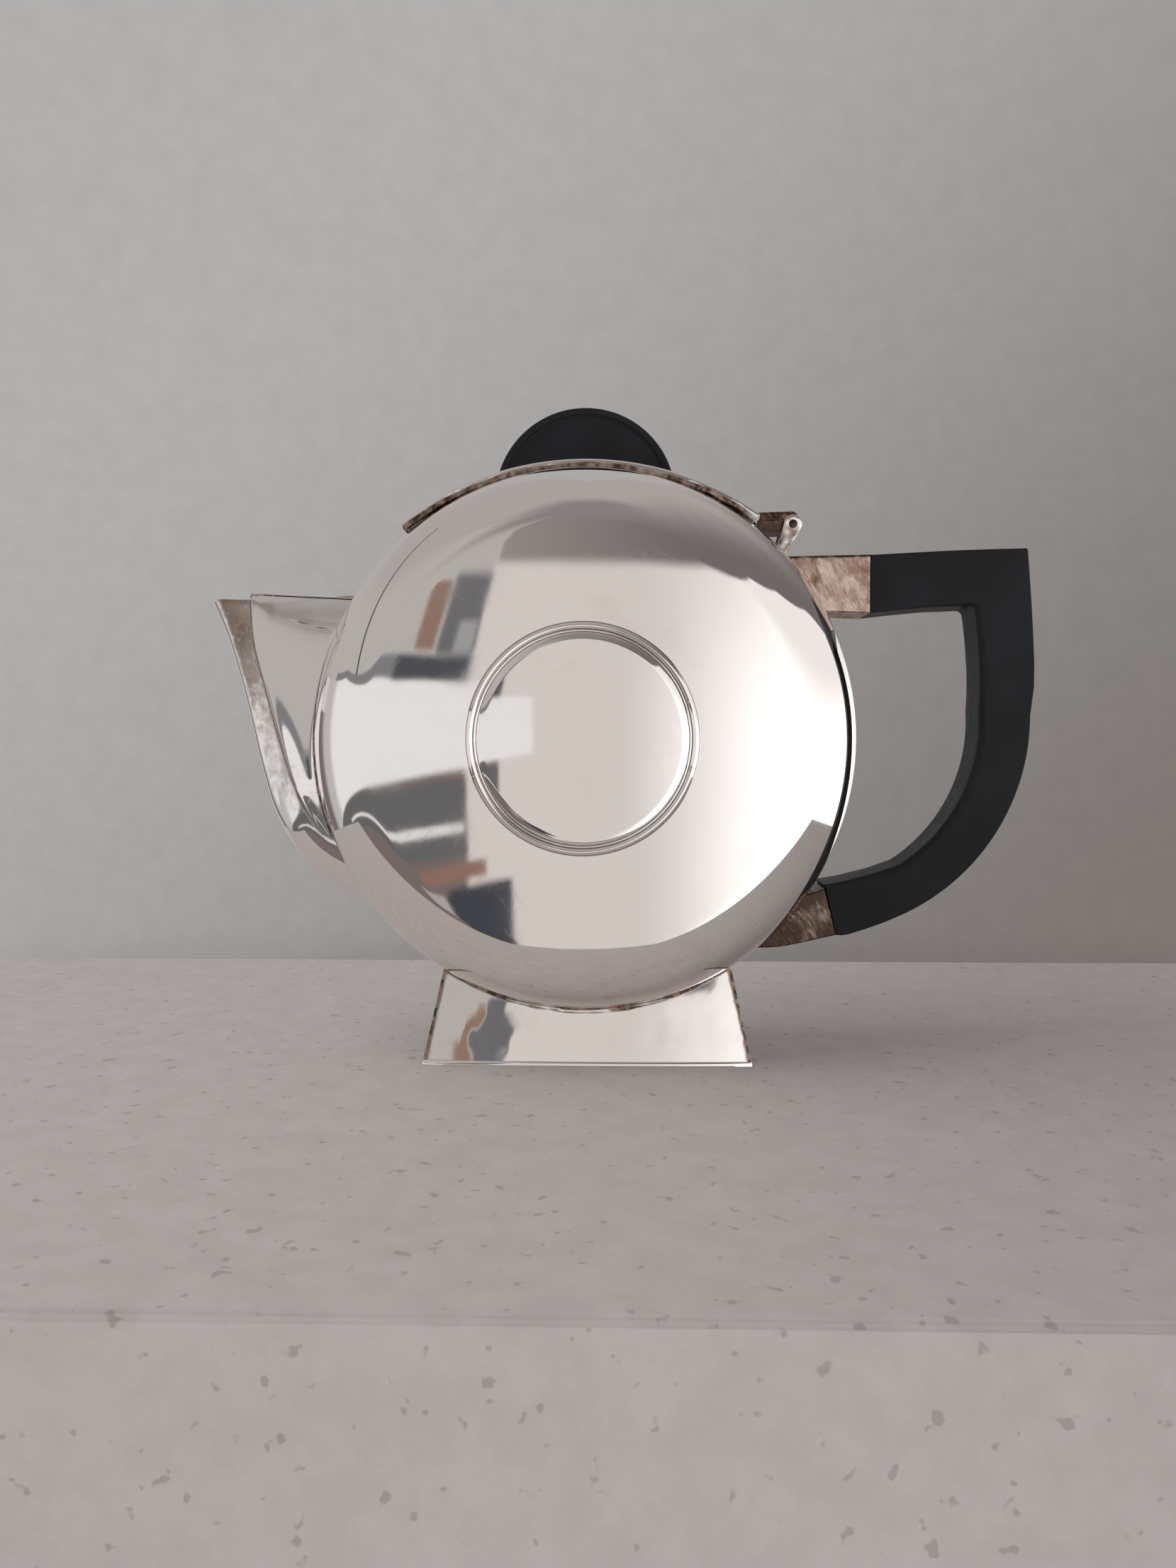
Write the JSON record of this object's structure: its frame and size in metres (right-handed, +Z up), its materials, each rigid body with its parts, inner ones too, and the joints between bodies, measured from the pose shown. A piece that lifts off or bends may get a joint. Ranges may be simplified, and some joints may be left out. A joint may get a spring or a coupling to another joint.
{
  "type": "silver teapot",
  "caption": "Disc-shaped polished silver teapot with a rectangular flared foot, hooded spout, hinged arched lid with a black half-disc finial, and a black D-shaped handle.",
  "frame": {"origin": "on the table under the middle of the disc; the centre of the foot's underside is 0.8 mm from it towards +X", "axes": "+X towards the handle, -X towards the spout, Y along the disc's axis (front face at -Y), +Z up"},
  "size_m": [0.2382, 0.0648, 0.188],
  "materials": {
    "silver_polished": "polished silver, fine scratches",
    "silver_tarnished": "brown tarnish over hammered silver",
    "black_grip": "satin ebonised"
  },
  "bodies": {
    "pot": {"body_front_shell": "silver_polished", "body_back_shell": "silver_polished", "body_rim_band": "silver_polished", "front_boss": "silver_polished", "back_boss": "silver_polished", "spout_channel": "silver_polished", "spout_cheek_front": "silver_polished", "spout_cheek_back": "silver_polished", "spout_cover": "silver_polished", "foot_front_panel": "silver_polished", "foot_back_panel": "silver_polished", "foot_left_panel": "silver_polished", "foot_right_panel": "silver_polished", "foot_base_plate": "silver_polished", "hinge_ear_front": "silver_polished", "hinge_ear_back": "silver_polished", "hinge_pin": "silver_tarnished", "handle_grip": "black_grip", "upper_socket": "silver_tarnished", "lower_socket": "silver_tarnished", "upper_handle_pin": "silver_tarnished", "lower_handle_pin": "silver_tarnished"},
    "lid": {"lid_plate": "silver_polished", "lid_bezel": "silver_polished", "lid_knuckle": "silver_tarnished", "finial": "black_grip", "finial_stud": "silver_polished", "finial_washer": "silver_polished", "finial_nut": "silver_polished"}
  },
  "joints": [
    {"name": "lid_hinge", "type": "hinge", "parent": "pot", "child": "lid", "pos_m": [0.0596, 0, 0.1538], "axis": [0, 1, 0], "range_deg": [0, 100]}
  ]
}
